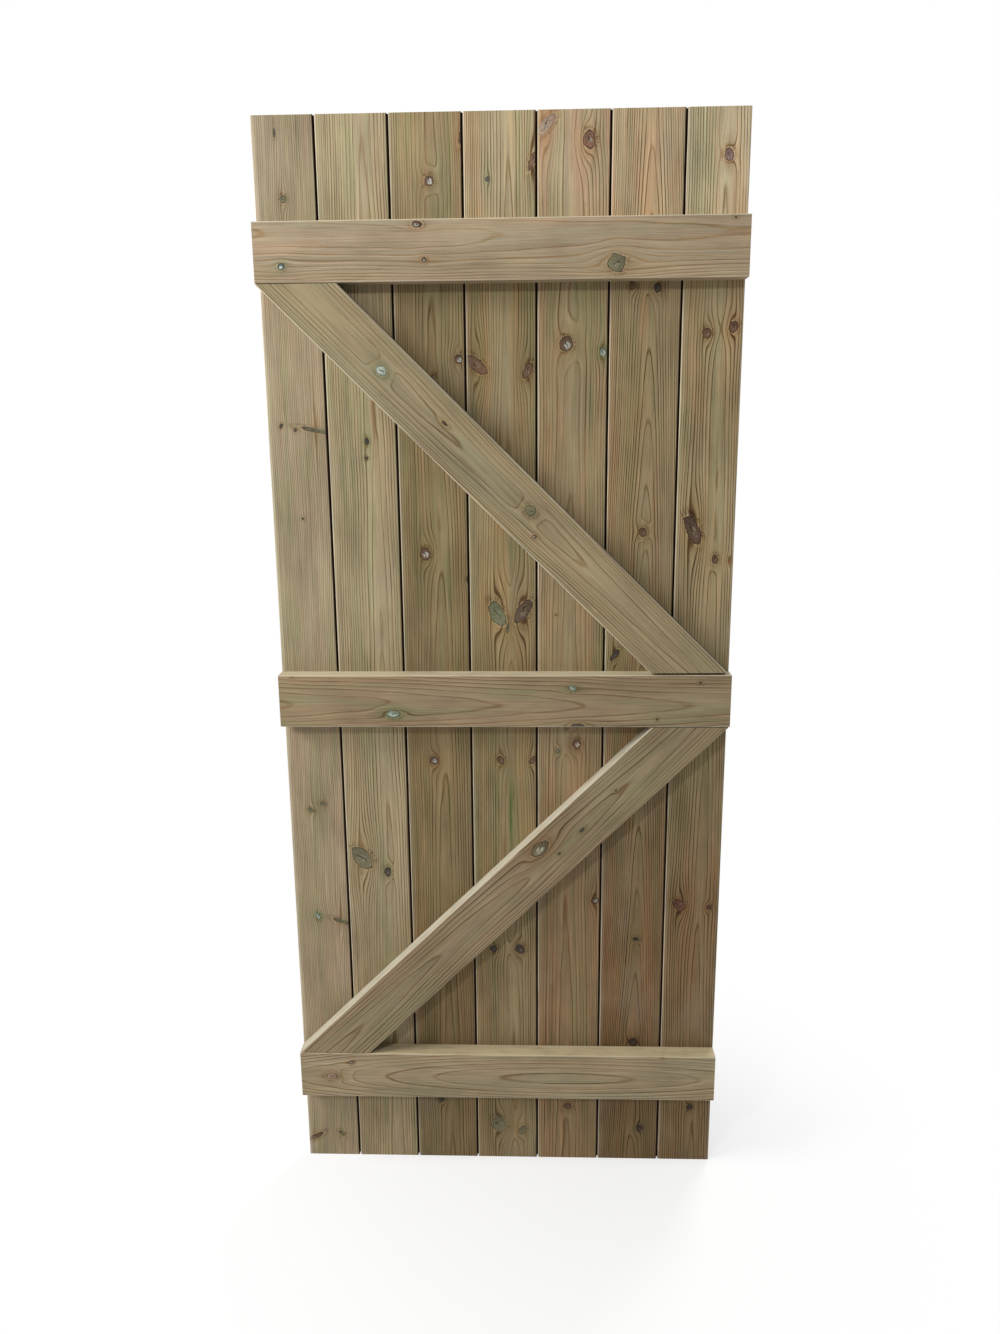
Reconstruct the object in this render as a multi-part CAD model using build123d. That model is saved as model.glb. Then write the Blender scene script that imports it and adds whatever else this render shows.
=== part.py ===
from build123d import *
import os
from math import asin, atan2, degrees, hypot

# Flat top garden gate leaf, ledged and braced, in pressure-treated pine.
# Seven tongued and grooved boards stand side by side. Three level ledges cross them on the
# ledged side, and two braces fill the two spaces between the ledges in a zigzag.
#
# The leaf is laid out with x from its left edge, z from the foot of the boards, and y = 0 on
# the boards' ledged side, with the ledges towards -y and the plain face towards +y.
# Each piece is then moved so that the origin is the middle of the lower hinge's seat, on the
# front of the bottom ledge.

# Whole leaf, mm
LEAF_WIDTH = 762.0
LEAF_HEIGHT = 1829.0

# Boards, mm
BOARD_COUNT = 7
BOARD_COVER = 113.6            # from one joint to the next; the two outer boards are ripped down
BOARD_THICKNESS = 20.0
JOINT_ARRIS = 2.0              # small bevel beside each joint on the ledged side
EDGE_ARRIS = 1.2               # small bevels on the leaf's two outer edges
FACE_BEVEL = 4.0               # bevel beside each joint on the plain face, half of the V

# Tongued and grooved joint, mm
LEDGED_SIDE_GAP = 2.5          # shadow gap between two boards on the ledged side
FACE_SIDE_GAP = 0.3            # shoulders almost touch on the plain face
TONGUE_REACH = 6.0             # past the joint line
TONGUE_THICKNESS = 5.6
TONGUE_BEVEL = 0.8
GROOVE_EXTRA_DEPTH = 1.0       # air past the tongue's tip
GROOVE_CLEARANCE = 0.2         # on each side of the tongue

# Ledges and braces, all of one planed section, mm
BAR_WIDTH = 90.0
BAR_THICKNESS = 32.0
BAR_ROUND = 2.0                # on the two front edges
BOTTOM_LEDGE_LOW = 150.0       # underside of the bottom ledge
BOARDS_ABOVE = 157.0           # from the top ledge to the boards' top ends
TOP_LEDGE_LOW = LEAF_HEIGHT - BOARDS_ABOVE - BAR_WIDTH

# Fit of the braces, mm
BRACE_END_GAP = 1.0            # between a brace's end and the ledge
BRACE_POINT_INSET = 1.0        # a brace's points stop this far from the leaf's edges
UPPER_BRACE_SHIFT = -2.5       # the upper brace sits a little to the left
UPPER_FOOT_NIP = 8.0           # its right-hand point is sawn off this far from the edge
UPPER_FOOT_LIFT = 3.0          # and its foot, sawn out of square, stands clear by this there

# Lower hinge's seat
HINGE_SEAT_INSET = BAR_WIDTH / 2

LEDGE_LOWS = {
    "ledge_bottom": BOTTOM_LEDGE_LOW,
    "ledge_middle": (BOTTOM_LEDGE_LOW + TOP_LEDGE_LOW) / 2,
    "ledge_top": TOP_LEDGE_LOW,
}
OUTER_BOARD_WIDTH = (LEAF_WIDTH - (BOARD_COUNT - 2) * BOARD_COVER) / 2
TO_SEAT_FRAME = Pos(-HINGE_SEAT_INSET, BAR_THICKNESS, -(BOTTOM_LEDGE_LOW + BAR_WIDTH / 2))


def tongue_side(joint):
    """Points of a board's right-hand side at a joint, from the ledged side to the plain face."""
    shoulder = joint - LEDGED_SIDE_GAP / 2
    face_shoulder = joint - FACE_SIDE_GAP / 2
    tip = joint + TONGUE_REACH
    near = (BOARD_THICKNESS - TONGUE_THICKNESS) / 2
    far = near + TONGUE_THICKNESS
    return [
        (shoulder - JOINT_ARRIS, 0),
        (shoulder, JOINT_ARRIS),
        (shoulder, near),
        (tip - TONGUE_BEVEL, near),
        (tip, near + TONGUE_BEVEL),
        (tip, far - TONGUE_BEVEL),
        (tip - TONGUE_BEVEL, far),
        (face_shoulder, far),
        (face_shoulder, BOARD_THICKNESS - FACE_BEVEL),
        (face_shoulder - FACE_BEVEL, BOARD_THICKNESS),
    ]


def groove_side(joint):
    """Points of a board's left-hand side at a joint, from the plain face to the ledged side."""
    shoulder = joint + LEDGED_SIDE_GAP / 2
    face_shoulder = joint + FACE_SIDE_GAP / 2
    bottom = joint + TONGUE_REACH + GROOVE_EXTRA_DEPTH
    near = (BOARD_THICKNESS - TONGUE_THICKNESS) / 2 - GROOVE_CLEARANCE
    far = BOARD_THICKNESS - near
    return [
        (face_shoulder + FACE_BEVEL, BOARD_THICKNESS),
        (face_shoulder, BOARD_THICKNESS - FACE_BEVEL),
        (face_shoulder, far),
        (bottom, far),
        (bottom, near),
        (shoulder, near),
        (shoulder, JOINT_ARRIS),
        (shoulder + JOINT_ARRIS, 0),
    ]


def ripped_edge(x, inward):
    """Points of an outer board's square edge, from the ledged side to the plain face."""
    return [
        (x + inward * EDGE_ARRIS, 0),
        (x, EDGE_ARRIS),
        (x, BOARD_THICKNESS - EDGE_ARRIS),
        (x + inward * EDGE_ARRIS, BOARD_THICKNESS),
    ]


def board(number):
    """One upright board; its plan is a closed outline, raised to the leaf's height."""
    left_joint = OUTER_BOARD_WIDTH + (number - 2) * BOARD_COVER
    right_joint = left_joint + BOARD_COVER
    if number == BOARD_COUNT:
        right = ripped_edge(LEAF_WIDTH, -1)
    else:
        right = tongue_side(right_joint)
    if number == 1:
        left = list(reversed(ripped_edge(0, 1)))
    else:
        left = groove_side(left_joint)
    plan = make_face(Polyline(right + left, close=True))
    return extrude(plan, LEAF_HEIGHT, dir=(0, 0, 1))


def bar(length):
    """A length of the planed section along x, centred on x and z, with its back on y = 0."""
    section = Plane.YZ * Pos(-BAR_THICKNESS / 2, 0) * Rectangle(BAR_THICKNESS, BAR_WIDTH)
    blank = extrude(section, length / 2, both=True)
    front_edges = blank.edges().filter_by(Axis.X).group_by(Axis.Y)[0]
    return fillet(front_edges, BAR_ROUND)


def ledge(low):
    """A level ledge across the whole leaf, with its underside at the given height."""
    return Pos(LEAF_WIDTH / 2, 0, low + BAR_WIDTH / 2) * bar(LEAF_WIDTH)


def brace(low_ledge, high_ledge, lean, shift=0.0, foot_nip=0.0, foot_lift=0.0):
    """A brace sawn from the same section to fill the space between two ledges.

    Its two points reach the leaf's two edges: with d the diagonal between the points, the bar
    lies steeper than that diagonal by the angle whose sine is the bar's width over d.
    lean is 1 for a brace that falls to the right and -1 for one that rises to the right.
    """
    foot = LEDGE_LOWS[low_ledge] + BAR_WIDTH
    head = LEDGE_LOWS[high_ledge]
    run = LEAF_WIDTH - 2 * BRACE_POINT_INSET
    diagonal = hypot(run, head - foot)
    angle = degrees(atan2(head - foot, run) + asin(BAR_WIDTH / diagonal))
    middle = Pos(LEAF_WIDTH / 2 + shift, 0, (foot + head) / 2)
    blank = middle * Rot(0, lean * angle, 0) * bar(2 * diagonal)

    left = 0.0
    right = LEAF_WIDTH - max(foot_nip, BRACE_POINT_INSET)
    outline = Polyline(
        [
            (left, 0, foot + BRACE_END_GAP),
            (right, 0, foot + BRACE_END_GAP + foot_lift),
            (right, 0, head - BRACE_END_GAP),
            (left, 0, head - BRACE_END_GAP),
        ],
        close=True,
    )
    space = extrude(make_face(outline), BAR_THICKNESS, dir=(0, -1, 0))
    return blank & space


pieces = {f"board_{number}": board(number) for number in range(1, BOARD_COUNT + 1)}
for name, low in LEDGE_LOWS.items():
    pieces[name] = ledge(low)
pieces["brace_upper"] = brace(
    "ledge_middle",
    "ledge_top",
    lean=1,
    shift=UPPER_BRACE_SHIFT,
    foot_nip=UPPER_FOOT_NIP,
    foot_lift=UPPER_FOOT_LIFT,
)
pieces["brace_lower"] = brace("ledge_bottom", "ledge_middle", lean=-1)

os.makedirs("parts", exist_ok=True)
for name, piece in pieces.items():
    export_step(TO_SEAT_FRAME * piece, f"parts/{name}.step")
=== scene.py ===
import math
from functools import partialmethod
from types import SimpleNamespace

import bmesh
import bpy
import numpy as np
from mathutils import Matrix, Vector


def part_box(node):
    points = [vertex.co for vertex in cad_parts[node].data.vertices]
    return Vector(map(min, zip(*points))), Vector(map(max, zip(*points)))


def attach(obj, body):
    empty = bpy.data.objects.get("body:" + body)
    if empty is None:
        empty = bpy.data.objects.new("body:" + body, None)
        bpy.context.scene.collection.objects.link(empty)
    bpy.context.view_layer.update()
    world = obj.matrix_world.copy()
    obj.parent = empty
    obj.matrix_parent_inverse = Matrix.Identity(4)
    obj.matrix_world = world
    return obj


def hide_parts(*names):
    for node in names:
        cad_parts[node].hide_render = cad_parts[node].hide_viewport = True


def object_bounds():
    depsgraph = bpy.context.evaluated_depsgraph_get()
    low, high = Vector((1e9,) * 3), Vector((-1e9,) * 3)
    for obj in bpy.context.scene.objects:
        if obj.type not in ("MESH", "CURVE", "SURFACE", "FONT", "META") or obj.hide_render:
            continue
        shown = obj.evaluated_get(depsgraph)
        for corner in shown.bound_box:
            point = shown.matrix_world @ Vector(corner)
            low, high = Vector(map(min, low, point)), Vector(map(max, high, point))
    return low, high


# Flat top garden gate leaf in planed, pressure-treated pine.
# Seven tongued and grooved boards, three ledges and two braces stand in for the plain solids, as
# rounded bars swept along their grain, and nail heads are added on the plain face.
# Places on the leaf are in millimetres from its bottom left corner, x to the right and z up,
# with y = 0 on the boards' ledged side. place() turns them into the frame's metres.

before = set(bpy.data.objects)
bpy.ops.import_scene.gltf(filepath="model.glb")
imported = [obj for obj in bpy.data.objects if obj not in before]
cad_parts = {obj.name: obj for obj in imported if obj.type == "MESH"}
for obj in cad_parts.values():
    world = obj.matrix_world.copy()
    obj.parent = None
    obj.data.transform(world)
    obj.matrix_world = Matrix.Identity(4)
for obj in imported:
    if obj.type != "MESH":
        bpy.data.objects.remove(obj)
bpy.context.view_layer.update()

MM = 0.001
LEAF_CORNER = np.array(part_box("board_1")[0])
LEAF_WIDTH = (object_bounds()[1].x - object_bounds()[0].x) / MM
LEAF_HEIGHT = (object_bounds()[1].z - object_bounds()[0].z) / MM

# Boards, mm
BOARD_COUNT = 7
BOARD_COVER = 113.6
BOARD_THICKNESS = 20.0
JOINT_ARRIS = 2.0
EDGE_ARRIS = 1.2
FACE_BEVEL = 4.0
LEDGED_SIDE_GAP = 2.5
FACE_SIDE_GAP = 0.3
TONGUE_REACH = 6.0
TONGUE_THICKNESS = 5.6
GROOVE_EXTRA_DEPTH = 1.0
GROOVE_CLEARANCE = 0.2
OUTER_BOARD_WIDTH = (LEAF_WIDTH - (BOARD_COUNT - 2) * BOARD_COVER) / 2

# Ledges and braces, mm
BAR_WIDTH = 90.0
BAR_THICKNESS = 32.0
BAR_ROUND = 2.0
LEDGE_LOWS = {"ledge_bottom": 150.0, "ledge_middle": 866.0, "ledge_top": 1582.0}
BRACE_END_GAP = 1.0
BRACE_POINT_INSET = 1.0
UPPER_BRACE_SHIFT = -2.5
UPPER_FOOT_NIP = 8.0
UPPER_FOOT_LIFT = 3.0

# Finish of the edges, mm
SHARP_ROUND = 0.2              # corners left as the machine cut them
TONGUE_ROUND = 0.8
FACE_ROUND = 0.6               # beside the V joints of the plain face
BACK_ROUND = 0.5               # a bar's edges against the boards
SHADED_DEPTH = 0.15            # depth at which a joint is fully darkened, on the side in shade: dirt and painted shade
LIT_START = 0.8 * JOINT_ARRIS  # where the darkening, dirt and painted shade, begins on the side in the light
LIT_DEPTH = 0.8                # and how much further down it is full
OUTER_STRIP = 4.0              # this near the leaf's outer edges nothing counts as a joint
SAWN_EASE = 0.3                # fibres broken off round a sawn end
END_ROOM = 3.0                 # from a sawn end to the next plain station
STATIONS = 40                  # along a piece
RIGHT_ARRIS_WEAR = 0.2         # share of the arris pale on the boards' right arrises, which face away from the light; the full pale on the left arrises is partly a painted highlight
ARRIS_REACH = 1.3              # how far from an arris its paleness reaches: rubbed wood, and partly painted highlight
SMOOTH_BELOW = 35.0            # degrees between two faces that are shaded as one

# Paler top and darker foot of the boards' ledged side by height, mm: partly weathering, partly
# painted light and shade
DRY_AND_LIT_FROM = LEDGE_LOWS["ledge_top"] + BAR_WIDTH - 60.0
DRY_AND_LIT_FULL = DRY_AND_LIT_FROM + 70.0
DAMP_AND_SHADED_FROM = LEDGE_LOWS["ledge_middle"] + 150.0
DAMP_AND_SHADED_FULL = 300.0

# Nails, mm
NAIL_HEAD_RADIUS = 3.4
NAIL_HEAD_PROUD = 0.35
NAIL_EDGE = 24.0               # from a bar's edge to its row of nails
NAIL_INSET = 26.0              # from a board's joint to its nails
NAIL_ZIGZAG = 4.0              # nails stand up and down from their row by this
NAIL_RIM = 1.0                 # how far a head's rim runs into the wood
NAIL_FLAT = 0.2                # share of a head's radius that is one flat face

# Camera, sky and floor, metres and degrees
CAMERA_AT = (0.3897, -1.6805, 1.1677)
CAMERA_TURN = (76.88, 0.51, 1.89)
CAMERA_LENS = 27.85
SKY_STRENGTH = 0.32
FLOOR_RADIUS = 8.0
FLOOR_SIDES = 48


def place(points):
    """Leaf millimetres to the frame's metres: scaled, then moved to the leaf's corner."""
    return LEAF_CORNER + np.asarray(points, float) * MM


# Shapes


def rounded_outline(corners, steps=4, runs=5):
    """A closed outline with rounded corners and extra points near them, as an (n, 2) array.

    Each corner is a curve B(t) = (1-t)^2 A + 2t(1-t) P + t^2 B between its two tangent points,
    which lie r / tan(half the corner's angle) from the corner P. Between two corners the points
    are cosine spaced, so that they crowd towards the arrises.
    """
    corners = np.asarray(corners, float)
    point, radius = corners[:, :2], corners[:, 2:3]
    to_last = np.roll(point, 1, axis=0) - point
    to_next = np.roll(point, -1, axis=0) - point
    to_last /= np.linalg.norm(to_last, axis=1, keepdims=True)
    to_next /= np.linalg.norm(to_next, axis=1, keepdims=True)
    cosine = np.sum(to_last * to_next, axis=1, keepdims=True)
    reach = radius / np.sqrt((1 - cosine) / (1 + cosine))
    start, end = point + to_last * reach, point + to_next * reach
    t = np.linspace(0, 1, steps + 1)[None, :, None]
    curves = (1 - t) ** 2 * start[:, None] + 2 * t * (1 - t) * point[:, None] + t**2 * end[:, None]
    share = (1 - np.cos(np.pi * np.arange(1, runs + 1) / (runs + 1)))[None, :, None] / 2
    after = np.roll(start, -1, axis=0)
    straights = end[:, None] + (after - end)[:, None] * share
    return np.concatenate([curves, straights], axis=1).reshape(-1, 2)


def arris_nearness(outline, arrises):
    """How near each outline point is to a pale arris, rubbed and partly a painted highlight.

    It is the greatest of paleness * exp(-(distance / reach)^2). Each arris is its two coordinates
    and how pale it is, up to 1.
    """
    arrises = np.asarray(arrises, float)
    gaps = np.linalg.norm(outline[:, None] - arrises[None, :, :2], axis=2)
    return np.max(arrises[None, :, 2] * np.exp(-((gaps / ARRIS_REACH) ** 2)), axis=1)


def inside_joint(outline, name):
    """How deep each outline point lies in a board's joint, 0 on the faces to 1 inside.

    It rises smoothly, t^2 (3 - 2t), over a short depth from the ledged side, and darkens the wood
    there: dirt in the joint, and painted shade. On a board's right-hand side, which lies in shade,
    it starts at the face and is full after SHADED_DEPTH, so its arris is painted dark as shade.
    On its left-hand side it starts at LIT_START and is full LIT_DEPTH further down. Bars, the
    leaf's outer edges and the V on the plain face have none.
    """
    if not name.startswith("board"):
        return np.zeros(len(outline))
    right = outline[:, 0] > (outline[:, 0].min() + outline[:, 0].max()) / 2
    depth = outline[:, 1] - np.where(right, 0.0, LIT_START)
    t = np.clip(depth / np.where(right, SHADED_DEPTH, LIT_DEPTH), 0, 1)
    back = outline[:, 1] > BOARD_THICKNESS - FACE_BEVEL - SHARP_ROUND / 2
    edge = (outline[:, 0] < OUTER_STRIP) | (outline[:, 0] > LEAF_WIDTH - OUTER_STRIP)
    return np.where(back | edge, 0, t**2 * (3 - 2 * t))


def mesh_piece(name, verts, faces, **attributes):
    """A closed mesh object from arrays, with outward normals and its point or face attributes."""
    mesh = bpy.data.meshes.new(name)
    mesh.from_pydata(verts.tolist(), [], faces)
    for label, values in attributes.items():
        domain = "POINT" if len(values) == len(verts) else "FACE"
        layer = mesh.attributes.new(label, "FLOAT", domain)
        layer.data.foreach_set("value", np.asarray(values, np.float32))
    shell = bmesh.new()
    shell.from_mesh(mesh)
    bmesh.ops.recalc_face_normals(shell, faces=shell.faces)
    shell.to_mesh(mesh)
    shell.free()
    mesh.shade_smooth()
    mesh.set_sharp_from_angle(angle=math.radians(SMOOTH_BELOW))
    piece = bpy.data.objects.new(name, mesh)
    bpy.context.collection.objects.link(piece)
    return piece


def grid_faces(rows, count):
    """Quads that join each closed row of count points to the next row."""
    i = np.arange(count)[None, :]
    k = np.arange(rows - 1)[:, None] * count
    after = (i + 1) % count
    return np.stack([k + i, k + after, k + count + after, k + count + i], axis=2).reshape(-1, 4)


def swept(name, outline, arrises, stations):
    """An outline carried along its grain: stations[k, i] is its point i at station k.

    Stations are on the leaf, in millimetres. Quads join neighbouring stations and one polygon
    closes each end.
    """
    rows, count = stations.shape[:2]
    quads = grid_faces(rows, count)
    first = list(range(count))[::-1]
    last = list(range((rows - 1) * count, rows * count))
    near = np.tile(arris_nearness(outline, arrises), rows)
    joint = np.tile(inside_joint(outline, name), rows)
    sawn = np.concatenate([np.zeros(len(quads)), [1, 1]])
    verts = place(stations.reshape(-1, 3))
    faces = quads.tolist() + [first, last]
    return mesh_piece(name, verts, faces, arris=near, joint=joint, sawn=sawn)


def eased(outline, length):
    """A straight bar's outline at each station, drawn in a little at its two sawn ends.

    It gives the outline's two coordinates and the distance along, each by station and point.
    """
    inner = np.linspace(END_ROOM, length - END_ROOM, STATIONS)
    along = np.concatenate([[0, SAWN_EASE], inner, [length - SAWN_EASE, length]])
    shrink = np.concatenate([[SAWN_EASE, 0], np.zeros(STATIONS), [0, SAWN_EASE]])
    low, high = outline.min(axis=0), outline.max(axis=0)
    middle, half = (low + high) / 2, (high - low) / 2
    flat = middle + (outline - middle) * (1 - shrink[:, None, None] / half)
    return flat[..., 0], flat[..., 1], np.broadcast_to(along[:, None], flat.shape[:2])


def board_corners(number):
    """Corners of a board's plan, each with its rounding, and the arrises made pale: rubbed, and on
    the lit left side partly a painted highlight.
    """
    near = (BOARD_THICKNESS - TONGUE_THICKNESS) / 2
    far = near + TONGUE_THICKNESS
    left_joint = OUTER_BOARD_WIDTH + (number - 2) * BOARD_COVER
    right_joint = left_joint + BOARD_COVER
    if number == BOARD_COUNT:
        right = [(LEAF_WIDTH, 0, EDGE_ARRIS), (LEAF_WIDTH, BOARD_THICKNESS, EDGE_ARRIS)]
    else:
        shoulder = right_joint - LEDGED_SIDE_GAP / 2
        face = right_joint - FACE_SIDE_GAP / 2
        tip = right_joint + TONGUE_REACH
        right = [
            (shoulder, 0, JOINT_ARRIS),
            (shoulder, near, SHARP_ROUND),
            (tip, near, TONGUE_ROUND),
            (tip, far, TONGUE_ROUND),
            (face, far, SHARP_ROUND),
            (face, BOARD_THICKNESS - FACE_BEVEL, SHARP_ROUND),
            (face - FACE_BEVEL, BOARD_THICKNESS, FACE_ROUND),
        ]
    if number == 1:
        left = [(0, BOARD_THICKNESS, EDGE_ARRIS), (0, 0, EDGE_ARRIS)]
    else:
        shoulder = left_joint + LEDGED_SIDE_GAP / 2
        face = left_joint + FACE_SIDE_GAP / 2
        bottom = left_joint + TONGUE_REACH + GROOVE_EXTRA_DEPTH
        left = [
            (face + FACE_BEVEL, BOARD_THICKNESS, FACE_ROUND),
            (face, BOARD_THICKNESS - FACE_BEVEL, SHARP_ROUND),
            (face, far + GROOVE_CLEARANCE, SHARP_ROUND),
            (bottom, far + GROOVE_CLEARANCE, SHARP_ROUND),
            (bottom, near - GROOVE_CLEARANCE, SHARP_ROUND),
            (shoulder, near - GROOVE_CLEARANCE, SHARP_ROUND),
            (shoulder, 0, JOINT_ARRIS),
        ]
    # The left arrises face the light and get the full pale, partly a painted highlight.
    arrises = [
        (*right[0][:2], RIGHT_ARRIS_WEAR), (*right[-1][:2], RIGHT_ARRIS_WEAR),
        (*left[0][:2], 1.0), (*left[-1][:2], 1.0),
    ]
    return right + left, arrises


def make_board(number):
    """A board: its plan stands at every height."""
    corners, arrises = board_corners(number)
    outline = rounded_outline(corners)
    stations = np.stack(eased(outline, LEAF_HEIGHT), axis=2)
    return swept(f"board_{number}_planed", outline, arrises, stations)


def bar_outline():
    """Section of a ledge or brace: width u across the grain, depth v from the boards to the front."""
    half = BAR_WIDTH / 2
    corners = [
        (-half, 0, BACK_ROUND),
        (half, 0, BACK_ROUND),
        (half, -BAR_THICKNESS, BAR_ROUND),
        (-half, -BAR_THICKNESS, BAR_ROUND),
    ]
    arrises = [(*corner[:2], 1.0) for corner in corners]
    return rounded_outline(corners, steps=6, runs=14), arrises


def make_ledge(name):
    """A ledge: the bar's section at every x."""
    outline, arrises = bar_outline()
    down, depth, along = eased(outline, LEAF_WIDTH)
    height = LEDGE_LOWS[name] + BAR_WIDTH / 2 - down
    stations = np.stack([along, depth, height], axis=2)
    return swept(f"{name}_planed", outline, arrises, stations)


def brace_line(lean, shift):
    """Angle, middle, foot and head heights of a brace whose points reach the leaf's two edges."""
    rise = LEDGE_LOWS["ledge_top"] - LEDGE_LOWS["ledge_middle"] - BAR_WIDTH
    run = LEAF_WIDTH - 2 * BRACE_POINT_INSET
    angle = math.atan2(rise, run) + math.asin(BAR_WIDTH / math.hypot(run, rise))
    low = LEDGE_LOWS["ledge_middle" if lean > 0 else "ledge_bottom"] + BAR_WIDTH
    middle = np.array([LEAF_WIDTH / 2 + shift, low + rise / 2])
    return angle, middle, low, low + rise


def make_brace(name, lean, shift=0.0, foot_nip=0.0, foot_lift=0.0):
    """A brace: each line of the bar runs from the cut at its top to the cut at its foot.

    Where a line at offset u meets a cut through point p with normal n, it has gone
    ((p - middle - u across) . n) / (along . n) from the brace's middle.
    """
    angle, middle, low, high = brace_line(lean, shift)
    along = np.array([math.cos(angle), -lean * math.sin(angle)])
    across = np.array([-lean * math.sin(angle), -math.cos(angle)])
    right = LEAF_WIDTH - max(foot_nip, BRACE_POINT_INSET)
    slope = foot_lift / right
    foot_cut = ((0.0, low + BRACE_END_GAP), (-slope, 1.0))
    head_cut = ((0.0, high - BRACE_END_GAP), (0.0, 1.0))
    left_cut = ((0.0, 0.0), (1.0, 0.0))
    right_cut = ((right, 0.0), (1.0, 0.0))
    first_cuts = [head_cut if lean > 0 else foot_cut, left_cut]
    last_cuts = [foot_cut if lean > 0 else head_cut, right_cut]
    outline, arrises = bar_outline()

    def travel(cut):
        point, normal = np.array(cut)
        offset = point - middle - outline[:, :1] * across
        return offset @ normal / (along @ normal)

    first = np.max([travel(cut) for cut in first_cuts], axis=0)
    last = np.min([travel(cut) for cut in last_cuts], axis=0)
    distance = first + (last - first) * np.linspace(0, 1, STATIONS + 1)[:, None]
    flat = middle + outline[None, :, :1] * across + distance[..., None] * along
    depth = np.broadcast_to(outline[:, 1], flat.shape[:2])
    stations = np.stack([flat[..., 0], depth, flat[..., 1]], axis=2)
    return swept(f"{name}_planed", outline, arrises, stations)


def nail_places():
    """Where nails go on the plain face: two to a board at each ledge, one at each brace."""
    joints = OUTER_BOARD_WIDTH + BOARD_COVER * np.arange(BOARD_COUNT - 1)
    edges = np.concatenate([[0.0], joints, [LEAF_WIDTH]])
    columns = np.concatenate([edges[:-1] + NAIL_INSET, edges[1:] - NAIL_INSET])
    sides = np.array([NAIL_EDGE, BAR_WIDTH - NAIL_EDGE])
    rows = np.add.outer(list(LEDGE_LOWS.values()), sides).ravel()
    x, z = np.meshgrid(columns, rows)
    zigzag = (np.arange(x.shape[1]) % 2 * 2 - 1) * NAIL_ZIGZAG
    places = [np.stack([x.ravel(), (z + zigzag).ravel()], axis=1)]
    centres = (edges[:-1] + edges[1:]) / 2
    for lean, shift in ((1, UPPER_BRACE_SHIFT), (-1, 0.0)):
        angle, middle, low, high = brace_line(lean, shift)
        height = middle[1] - lean * (centres - middle[0]) * math.tan(angle)
        inside = (height > low + NAIL_EDGE) & (height < high - NAIL_EDGE)
        places.append(np.stack([centres[inside], height[inside]], axis=1))
    return np.concatenate(places)


def make_nails():
    """Flat nail heads on the plain face, one joined mesh.

    Each head is a low dome turned about its nail: at radius r the face stands
    proud * (1 - (r / R)^4) off the board, over a short rim that runs into the wood.
    """
    turns, rings = 16, 5
    angle = np.linspace(0, 2 * np.pi, turns, endpoint=False)
    radius = NAIL_HEAD_RADIUS * np.linspace(1, NAIL_FLAT, rings)
    proud = NAIL_HEAD_PROUD * (1 - (radius / NAIL_HEAD_RADIUS) ** 4)
    radius = np.concatenate([[NAIL_HEAD_RADIUS], radius])
    proud = np.concatenate([[-NAIL_RIM], proud])
    ring = np.stack(
        [
            radius[:, None] * np.cos(angle),
            np.broadcast_to(BOARD_THICKNESS + proud[:, None], (len(radius), turns)),
            radius[:, None] * np.sin(angle),
        ],
        axis=2,
    ).reshape(-1, 3)
    spots = nail_places()
    offset = np.stack([spots[:, 0], np.zeros(len(spots)), spots[:, 1]], axis=1)
    verts = (ring[None] + offset[:, None]).reshape(-1, 3)
    quads = grid_faces(len(radius), turns)
    step = len(ring)
    starts = np.arange(len(spots)) * step
    sides = (quads[None] + starts[:, None, None]).reshape(-1, 4)
    backs = (np.arange(turns)[None] + starts[:, None]).tolist()
    fronts = (np.arange(step - turns, step)[None] + starts[:, None]).tolist()
    return mesh_piece("nail_heads", place(verts), sides.tolist() + backs + fronts)


# Node helpers


def named(sockets):
    """Sockets by plain name: Half Width becomes half_width."""
    return SimpleNamespace(**{socket.name.lower().replace(" ", "_"): socket for socket in sockets})


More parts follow.
